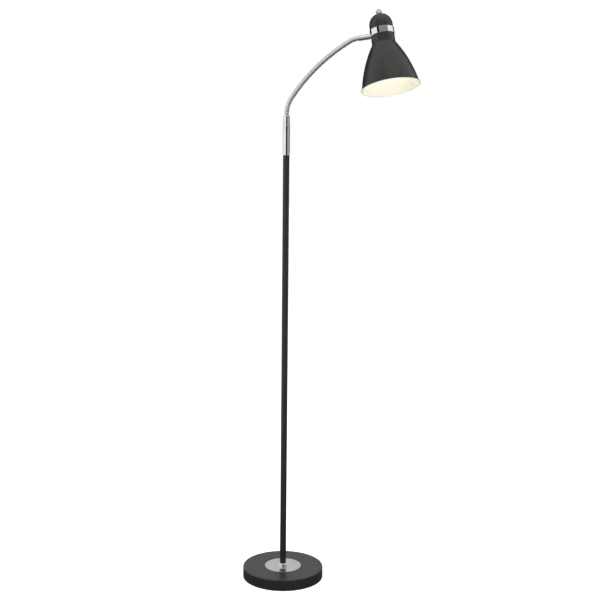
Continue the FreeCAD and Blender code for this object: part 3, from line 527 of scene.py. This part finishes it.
def makeShade():
    s = shadeSizes
    wall = s["wall"]
    foot, shoulder = (s["bellRadius"], s["rimHeight"]), (s["bellTop"], s["bellHeight"])
    outer = arcPoints(foot, shoulder, s["bellArc"], s["bellSteps"])
    innerFoot, innerShoulder = (s["bellRadius"] - wall, 0), (s["bellTop"] - wall, s["bellHeight"])
    inner = arcPoints(innerFoot, innerShoulder, s["bellArc"] - wall, s["bellSteps"])
    shape = turnedShape(
        [innerFoot, (s["rimRadius"], 0), (s["rimRadius"], s["rimHeight"]), foot] + outer
        + [shoulder, (s["neckRadius"], s["neckStart"]), (s["neckRadius"], s["top"]), (s["plateHole"], s["top"]),
           (s["plateHole"], s["top"] - wall), (s["neckRadius"] - wall, s["top"] - wall),
           (s["neckRadius"] - wall, s["neckStart"]), innerShoulder] + inner[::-1], steps=144)
    # enamel on the faces that look inwards or down
    inwardBelow, downBelow = -1e-6, -0.9
    for face in shape.faces:
        centre = face.calc_center_median()
        outwards = centre.x * face.normal.x + centre.y * face.normal.y
        face.material_index = 1 if outwards < inwardBelow or face.normal.z < downBelow else 0
    roundRing(shape, s["rimRadius"], 0, s["rimRound"], segments=5)
    roundRing(shape, s["rimRadius"], s["rimHeight"], s["rimRound"], segments=5)
    roundRing(shape, s["neckRadius"], s["top"], s["topRound"], segments=3)
    finishPiece("shade", shape, [blackPaint, creamEnamel], "shade", headPlace)


def makeBand():
    s = bandSizes
    band = turnedShape([(s["inside"], s["bottom"]), (s["outside"], s["bottom"]), (s["outside"], s["top"]),
                        (s["inside"], s["top"])], steps=144)
    roundRing(band, s["outside"], s["bottom"], s["round"], segments=3)
    roundRing(band, s["outside"], s["top"], s["round"], segments=3)
    finishPiece("shadeBand", band, [chrome], "shade_band", headPlace)


capSizes = {"bottom": 158.1, "radius": 31.8, "top": 207.0, "hole": 5.1, "wall": 1.0, "footRound": 0.5,
            "domeSteps": 16}


def makeCap():
    s = capSizes
    ball, inside = s["radius"], s["radius"] - s["wall"]
    middle = s["top"] - ball
    rim = (s["hole"], middle + math.sqrt(ball ** 2 - s["hole"] ** 2))
    innerRim = (s["hole"], middle + math.sqrt(inside ** 2 - s["hole"] ** 2))
    dome = arcPoints((ball, middle), rim, ball, s["domeSteps"])
    innerDome = arcPoints((inside, middle), innerRim, inside, s["domeSteps"])
    cap = turnedShape([(inside, s["bottom"]), (ball, s["bottom"]), (ball, middle)] + dome + [rim, innerRim]
                      + innerDome[::-1] + [(inside, middle)], steps=128)
    roundRing(cap, ball, s["bottom"], s["footRound"], segments=3)
    finishPiece("cap", cap, [blackPaint], "cap", headPlace)


knobSizes = {"foot": 208.99, "footRadius": 7.0, "hollow": 6.2, "hollowHeight": 1.8, "gripRadius": 8.5,
             "gripHeight": 5.5, "gripRound": 1.0, "shoulderRadius": 4.25, "shoulderHeight": 9.5,
             "shoulderRound": 0.6, "nibRadius": 1.6, "nibRound": 0.9, "height": 12.5}


def makeKnob():
    s = knobSizes
    foot = s["foot"]
    grip, shoulder, nib = foot + s["gripHeight"], foot + s["shoulderHeight"], foot + s["height"]
    hollowTop = foot + s["hollowHeight"]
    knob = turnedShape([(s["hollow"], foot), (s["footRadius"], foot), (s["gripRadius"], grip),
                        (s["shoulderRadius"], shoulder), (s["nibRadius"], shoulder), (s["nibRadius"], nib), (0, nib),
                        (0, hollowTop), (s["hollow"], hollowTop)])
    roundRing(knob, s["gripRadius"], grip, s["gripRound"], segments=5)
    roundRing(knob, s["shoulderRadius"], shoulder, s["shoulderRound"])
    roundRing(knob, s["nibRadius"], nib, s["nibRound"])
    finishPiece("switchKnob", knob, [chrome], "switch_knob", headPlace)


bulbSizes = {"globeRadius": 28.0, "globeBottom": 40.0, "globeSteps": 24, "seat": 84.0, "housingEnd": 119.0,
             "housingRadius": 15.0, "housingRound": 0.6}


def makeBulb():
    s = bulbSizes
    radius, steps = s["globeRadius"], s["globeSteps"]
    middle = s["globeBottom"] + radius
    seatRadius = math.sqrt(radius ** 2 - (s["seat"] - middle) ** 2)
    turn = math.pi / 2 + math.asin((s["seat"] - middle) / radius)
    profile = [(radius * math.sin(turn * i / steps), middle - radius * math.cos(turn * i / steps))
               for i in range(steps + 1)]
    finishPiece("bulbGlobe", turnedShape(profile + [(0, s["seat"])]), [opalGlobe], "bulb_globe", headPlace)
    housing = turnedShape([(0, s["seat"]), (seatRadius, s["seat"]), (s["housingRadius"], s["housingEnd"]),
                           (0, s["housingEnd"])])
    roundRing(housing, seatRadius, s["seat"], s["housingRound"], segments=3)
    finishPiece("bulbHousing", housing, [blackPlastic], "bulb_housing", headPlace)


makeShade()
makeBand()
makeCap()
makeKnob()
makeBulb()
print("head made")


# the studio is in metres, degrees, watts and grey levels, with the lens and the sensor in millimetres
studio = {"floorSize": 30.0, "floorGrey": 0.8, "floorGlow": 0.72, "softWorld": 0.45, "cameraDistance": 3.17676,
          "cameraHeight": 1.30004, "tilt": 8.7737, "yaw": 0.7526, "roll": 0.5894, "lens": 69.0, "sensor": 36.0}


def makeCamera():
    s = studio
    tilt, yaw, roll = (math.radians(s[key]) for key in ("tilt", "yaw", "roll"))
    forward = Vector((math.sin(yaw) * math.cos(tilt), math.cos(yaw) * math.cos(tilt), -math.sin(tilt)))
    right = forward.cross(Vector((0, 0, 1))).normalized()
    up = right.cross(forward)
    turn = Matrix((right * math.cos(roll) + up * math.sin(roll), up * math.cos(roll) - right * math.sin(roll),
                   -forward)).transposed()
    camera = addObject("camera", bpy.data.cameras.new("camera"))
    camera.data.lens = s["lens"]
    camera.data.sensor_width = s["sensor"]
    camera.matrix_world = Matrix.Translation((0, -s["cameraDistance"], s["cameraHeight"])) @ turn.to_4x4()
    bpy.context.scene.camera = camera


def emptyMaterial(name):
    material = bpy.data.materials.new(name)
    material.use_nodes = True
    material.node_tree.nodes.clear()
    return material


# a flat sheet that belongs to the studio; the matrix takes it from a unit square to its place
def makeSheet(name, material, matrix):
    bm = bmesh.new()
    bmesh.ops.create_grid(bm, x_segments=1, y_segments=1, size=0.5, matrix=matrix)
    sheet = addObject(name, meshFrom(bm, name))
    sheet.data.materials.append(material)
    return sheet


# pale floor that renders white to the camera except where the lamp shades it
def makeFloor():
    s = studio
    material = emptyMaterial("paleFloor")
    links = material.node_tree.links
    matte = addNode(material, "ShaderNodeBsdfDiffuse", Color=(s["floorGrey"], s["floorGrey"], s["floorGrey"], 1))
    glow = addNode(material, "ShaderNodeEmission", Strength=s["floorGlow"])
    both = addNode(material, "ShaderNodeAddShader")
    links.new(matte.outputs[0], both.inputs[0])
    links.new(glow.outputs[0], both.inputs[1])
    ray = addNode(material, "ShaderNodeLightPath")
    pick = addNode(material, "ShaderNodeMixShader", Fac=ray.outputs["Is Camera Ray"])
    links.new(matte.outputs[0], pick.inputs[1])
    links.new(both.outputs[0], pick.inputs[2])
    addNode(material, "ShaderNodeOutputMaterial", Surface=pick.outputs[0])
    makeSheet("floor", material, Matrix.Diagonal((s["floorSize"], s["floorSize"], 1, 1)))


def turnTowards(direction):
    return Vector(direction).to_track_quat("Z", "Y").to_matrix().to_4x4()


# a studio card that only shiny surfaces see
def makeCard(name, centre, width, height, facing, shade):
    material = emptyMaterial(name)
    glow = addNode(material, "ShaderNodeEmission", Color=(shade, shade, shade, 1))
    addNode(material, "ShaderNodeOutputMaterial", Surface=glow.outputs[0])
    card = makeSheet(name, material, Matrix.Translation(centre) @ turnTowards(facing)
                     @ Matrix.Diagonal((width, height, 1, 1)))
    card.visible_camera = False
    card.visible_diffuse = False
    card.visible_shadow = False
    card.visible_transmission = False


# azimuth runs from the camera's side towards +X
studioCards = {
    "frontCard": {"azimuth": 5.5, "distance": 2.6, "width": 2.2, "low": 0.95, "high": 1.75, "shade": 0.0},
    "lowFrontCard": {"azimuth": 5.5, "distance": 2.6, "width": 2.2, "low": 0.02, "high": 0.95, "shade": 0.55},
    "upperFrontCard": {"azimuth": 16, "distance": 2.6, "width": 5.2, "low": 2.75, "high": 4.2, "shade": 0.27},
    "highSoftBox": {"azimuth": 15, "distance": 2.4, "width": 2.6, "low": 4.3, "high": 5.6, "shade": 1.8},
    "streakCard": {"azimuth": -42, "distance": 2.6, "width": 1.15, "low": 2.2, "high": 4.4, "shade": 0.0},
    "rightCard": {"azimuth": 70, "distance": 2.8, "width": 5.4, "low": 0.9, "high": 2.1, "shade": 0.40},
}
floorCards = {
    "frontFloorCard": {"x": (-1.0, 3.0), "y": (-4.0, -1.2), "shade": 0.08},
    "nearFloorCard": {"x": (-1.0, 0.14), "y": (-1.2, 0.3), "shade": 0.12},
    "besideFloorCard": {"x": (0.14, 0.38), "y": (-0.45, 0.3), "shade": 0.12},
    "rightFloorCard": {"x": (0.38, 3.0), "y": (-1.2, 1.2), "shade": 0.08},
}
floorCardHeight = 0.0005
backCards = {
    "backCard": {"x": (-0.4, 0.8), "y": 0.4, "z": (1.2, 2.1), "shade": 0.02},
    "farBackCard": {"x": (-3.0, 3.0), "y": 3.0, "z": (0.1, 3.6), "shade": 0.64},
}


def standCards():
    for name, card in studioCards.items():
        turn = math.radians(card["azimuth"])
        inward = Vector((-math.sin(turn), math.cos(turn), 0))
        centre = Vector((0, 0, (card["low"] + card["high"]) / 2)) - inward * card["distance"]
        makeCard(name, centre, card["width"], card["high"] - card["low"], inward, card["shade"])
    for name, card in floorCards.items():
        centre = (sum(card["x"]) / 2, sum(card["y"]) / 2, floorCardHeight)
        makeCard(name, centre, card["x"][1] - card["x"][0], card["y"][1] - card["y"][0], (0, 0, 1), card["shade"])
    for name, card in backCards.items():
        centre = (sum(card["x"]) / 2, card["y"], sum(card["z"]) / 2)
        makeCard(name, centre, card["x"][1] - card["x"][0], card["z"][1] - card["z"][0], (0, -1, 0), card["shade"])


lights = {
    "keyLight": {"place": (-1.8, -3.2, 2.8), "target": (0.1, 0, 1.0), "size": 2.0, "power": 90},
    "fillLight": {"place": (2.2, -2.6, 1.6), "target": (0.1, 0, 1.0), "size": 2.0, "power": 30},
    "topLight": {"place": (0.0, 0.5, 4.0), "target": (0, 0, 0), "size": 2.5, "power": 60},
}


def makeLights():
    for name, s in lights.items():
        data = bpy.data.lights.new(name, "AREA")
        data.size = s["size"]
        data.energy = s["power"]
        light = addObject(name, data)
        light.matrix_world = Matrix.Translation(s["place"]) @ turnTowards(Vector(s["place"]) - Vector(s["target"]))
        light.visible_glossy = False


# white to the camera, in reflections and through clear things, and a softer white as light
def makeWorld():
    world = bpy.data.worlds.new("studioWorld")
    world.use_nodes = True
    bpy.context.scene.world = world
    white = world.node_tree.nodes["Background"]
    white.inputs["Color"].default_value = (1, 1, 1, 1)
    white.inputs["Strength"].default_value = 1.0
    soft = addNode(world, "ShaderNodeBackground", Color=(1, 1, 1, 1), Strength=studio["softWorld"])
    ray = addNode(world, "ShaderNodeLightPath")
    seen = ray.outputs["Is Camera Ray"]
    for kind in ("Is Glossy Ray", "Is Transmission Ray"):
        either = addNode(world, "ShaderNodeMath", {"operation": "MAXIMUM"})
        world.node_tree.links.new(seen, either.inputs[0])
        world.node_tree.links.new(ray.outputs[kind], either.inputs[1])
        seen = either.outputs[0]
    pick = addNode(world, "ShaderNodeMixShader", Fac=seen)
    world.node_tree.links.new(soft.outputs[0], pick.inputs[1])
    world.node_tree.links.new(white.outputs[0], pick.inputs[2])
    world.node_tree.links.new(pick.outputs[0], world.node_tree.nodes["World Output"].inputs["Surface"])


makeCamera()
makeFloor()
standCards()
makeLights()
makeWorld()
bpy.context.scene.view_settings.view_transform = "Standard"
print("studio made")
